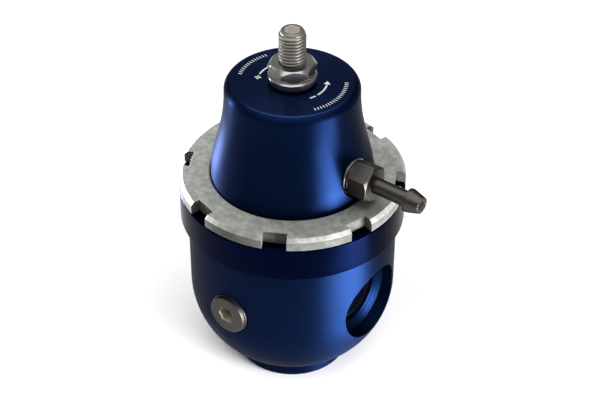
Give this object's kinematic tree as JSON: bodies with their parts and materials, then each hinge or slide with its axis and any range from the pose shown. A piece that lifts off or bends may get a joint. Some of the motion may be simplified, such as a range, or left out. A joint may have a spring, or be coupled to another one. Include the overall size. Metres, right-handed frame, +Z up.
{
  "type": "fuel pressure regulator",
  "caption": "Diaphragm fuel pressure regulator with a bell-shaped spring cap, notched lock ring, side and bottom threaded ports, hose barb and adjusting screw.",
  "frame": {"origin": "centre of the bottom boss face, on the main axis", "axes": "+Z up the main axis towards the adjusting screw, +X out of the inlet port under the hose barb, -Y out of the plugged gauge port, +Y towards the bracket flat"},
  "size_m": [0.0798, 0.068, 0.1176],
  "materials": {
    "blue_anodised": "turned and anodised, satin blue",
    "bare_aluminium": "machined, lightly tumbled",
    "stainless": "turned and threaded, bright",
    "plated_steel": "dull nickel plate",
    "seal_rubber": "matt black",
    "diaphragm_rubber": "fabric-reinforced, matt black",
    "spring_steel": "oiled spring wire",
    "zinc_steel": "bright zinc plate",
    "ball_steel": "polished hardened steel"
  },
  "bodies": {
    "root": {"body": "blue_anodised", "cap": "blue_anodised", "lock_ring": "bare_aluminium", "valve_seat": "stainless", "seat_o_ring": "seal_rubber", "hose_barb": "plated_steel", "barb_seal": "bare_aluminium", "gauge_plug": "plated_steel", "gauge_seal": "bare_aluminium", "diaphragm": "diaphragm_rubber"},
    "perch": {"spring_perch": "zinc_steel", "main_spring": "spring_steel"},
    "adjuster": {"adjuster_screw": "stainless"},
    "nut_washer": {"nut_seal": "seal_rubber"},
    "nut": {"lock_nut": "stainless"},
    "valve": {"valve_holder": "stainless", "spring_cup": "zinc_steel", "stem_nut": "zinc_steel", "valve_ball": "ball_steel", "ball_spring": "spring_steel", "ball_clip": "spring_steel"}
  },
  "joints": [
    {"name": "perch_slide", "type": "slide", "parent": "root", "child": "perch", "axis": [0, 0, 1], "range_m": [-0.00423, 0.00212], "deforming": ["main_spring"]},
    {"name": "adjuster_turn", "type": "hinge", "parent": "perch", "child": "adjuster", "pos_m": [0, 0, 0.1], "axis": [0, 0, 1], "range_deg": [-1440, 720]},
    {"name": "nut_lift", "type": "slide", "parent": "root", "child": "nut_washer", "axis": [0, 0, 1], "range_m": [0, 0.00212]},
    {"name": "lock_nut_turn", "type": "hinge", "parent": "nut_washer", "child": "nut", "pos_m": [0, 0, 0.104], "axis": [0, 0, 1], "range_deg": [0, 720]},
    {"name": "valve_lift", "type": "slide", "parent": "root", "child": "valve", "axis": [0, 0, 1], "range_m": [0, 0.001], "stiffness_N_per_m": 35000, "deforming": ["diaphragm"]}
  ],
  "couplings": [
    {"joint": "adjuster_turn", "follows": "perch_slide", "rad_per_m": 5936.9},
    {"joint": "lock_nut_turn", "follows": "nut_lift", "rad_per_m": 5936.9}
  ]
}
